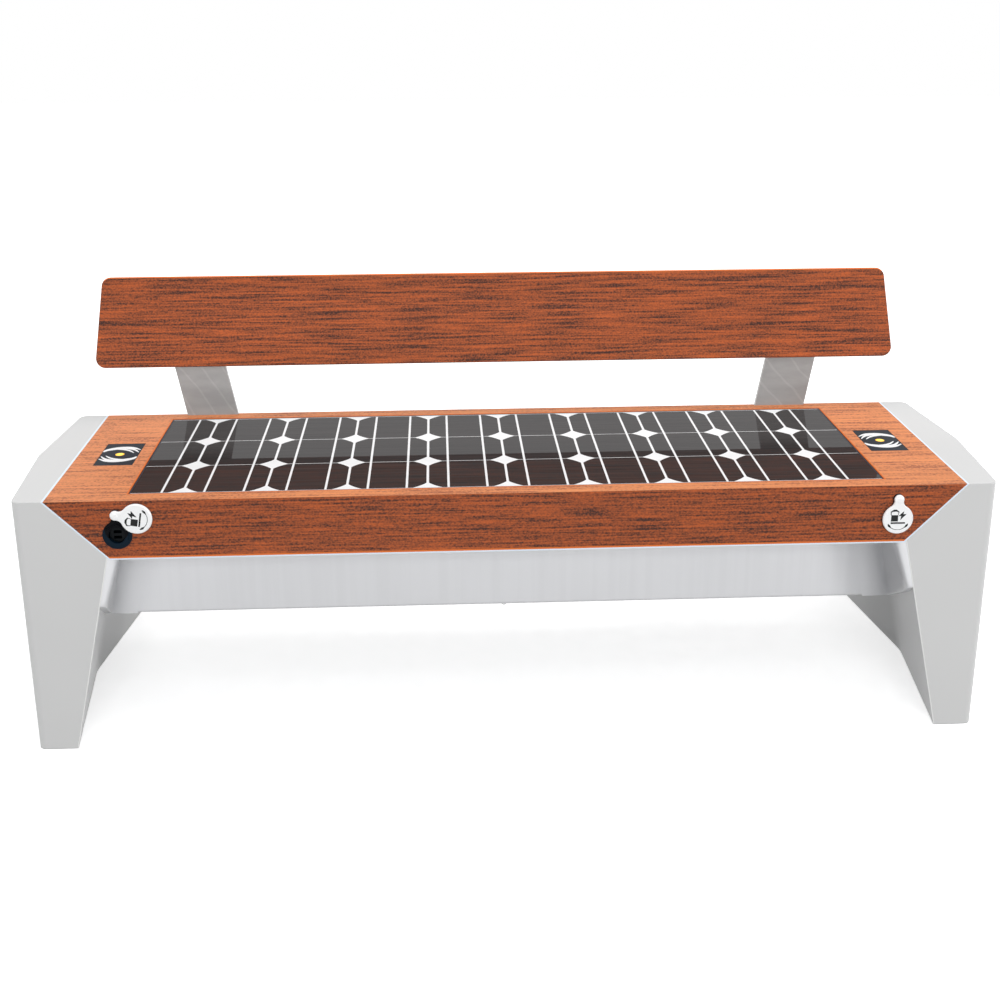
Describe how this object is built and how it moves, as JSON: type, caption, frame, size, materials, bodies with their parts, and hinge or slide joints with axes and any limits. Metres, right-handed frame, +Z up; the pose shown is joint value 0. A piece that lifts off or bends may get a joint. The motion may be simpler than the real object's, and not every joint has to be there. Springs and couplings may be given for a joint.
{
  "type": "solar charging bench",
  "caption": "Timber park bench on faceted metal legs, with a solar panel in the seat, phone charging pads, capped charging sockets, a backrest and a battery box below.",
  "frame": {"origin": "on the ground, in the middle of the whole outline", "axes": "+X along the bench to the right-hand leg, -Y the side that people sit down from, +Z up"},
  "size_m": [1.66, 0.5692, 0.7185],
  "materials": {
    "coat": "satin",
    "wood": "satin",
    "trim": "satin",
    "support_steel": "satin",
    "zinc_steel": "matte",
    "fastener": "satin",
    "module_frame": "satin",
    "panel_glass": "gloss",
    "cell": "gloss",
    "white_sheet": "matte",
    "black_plastic": "satin",
    "pad_face": "gloss",
    "indicator": "gloss",
    "gasket_rubber": "matte",
    "cap_plastic": "gloss",
    "copper": "satin",
    "box_coat": "satin",
    "lock_metal": "gloss",
    "battery_case": "matte",
    "device_metal": "satin",
    "device_plastic": "matte"
  },
  "bodies": {
    "bench": {"left_leg": "coat", "left_joint_plate": "trim", "left_base_plate": "zinc_steel", "left_backrest_support": "support_steel", "left_pad_cover": "pad_face", "left_pad_housing": "black_plastic", "left_port_bezel": "black_plastic", "left_port_socket": "black_plastic", "right_leg": "coat", "right_joint_plate": "trim", "right_base_plate": "zinc_steel", "right_backrest_support": "support_steel", "right_pad_cover": "pad_face", "right_pad_housing": "black_plastic", "right_port_bezel": "black_plastic", "right_port_socket": "black_plastic", "pad_coils": "copper", "pad_leds": "indicator", "port_gaskets": "gasket_rubber", "box_ends": "box_coat", "box_flanges": "box_coat", "box_coves": "box_coat", "seat_top_board": "wood", "front_apron": "wood", "rear_apron": "wood", "backrest_board": "wood", "edge_trims": "trim", "leg_bolts": "fastener", "port_nuts": "black_plastic", "cap_pivots": "cap_plastic", "backrest_bolts": "fastener", "support_bolts": "fastener", "seat_rails": "zinc_steel", "cross_tubes": "zinc_steel", "end_bearers": "zinc_steel", "support_brackets": "zinc_steel", "solar_frame": "module_frame", "solar_glass": "panel_glass", "solar_backsheet": "white_sheet", "solar_cells": "cell", "solar_junction_box": "black_plastic", "battery_box": "box_coat", "box_bolts": "fastener", "door_hinges": "zinc_steel", "hinge_pins": "fastener", "battery_pack": "battery_case", "battery_strap": "zinc_steel", "strap_bolts": "fastener", "charge_controller": "device_metal", "power_module": "device_plastic", "fuse_block": "device_plastic"},
    "left_cap_body": {"left_cap": "cap_plastic"},
    "right_cap_body": {"right_cap": "cap_plastic"},
    "door_body": {"service_door": "box_coat", "lock_housing": "lock_metal", "lock_nut": "fastener"},
    "lock_body": {"lock_cam": "lock_metal"}
  },
  "joints": [
    {"name": "left_cap_swivel", "type": "hinge", "parent": "bench", "child": "left_cap_body", "pos_m": [-0.642, -0.28125, 0.4275], "axis": [0, 1, 0], "range_deg": [0, 80]},
    {"name": "right_cap_swivel", "type": "hinge", "parent": "bench", "child": "right_cap_body", "pos_m": [0.642, -0.28125, 0.4275], "axis": [0, 1, 0], "range_deg": [0, 80]},
    {"name": "service_door_hinge", "type": "hinge", "parent": "bench", "child": "door_body", "pos_m": [0, 0.16415, 0.1518], "axis": [-1, 0, 0], "range_deg": [0, 100]},
    {"name": "door_lock_turn", "type": "hinge", "parent": "door_body", "child": "lock_body", "pos_m": [0, 0.16905, 0.2815], "axis": [0, 1, 0], "range_deg": [0, 90]}
  ]
}
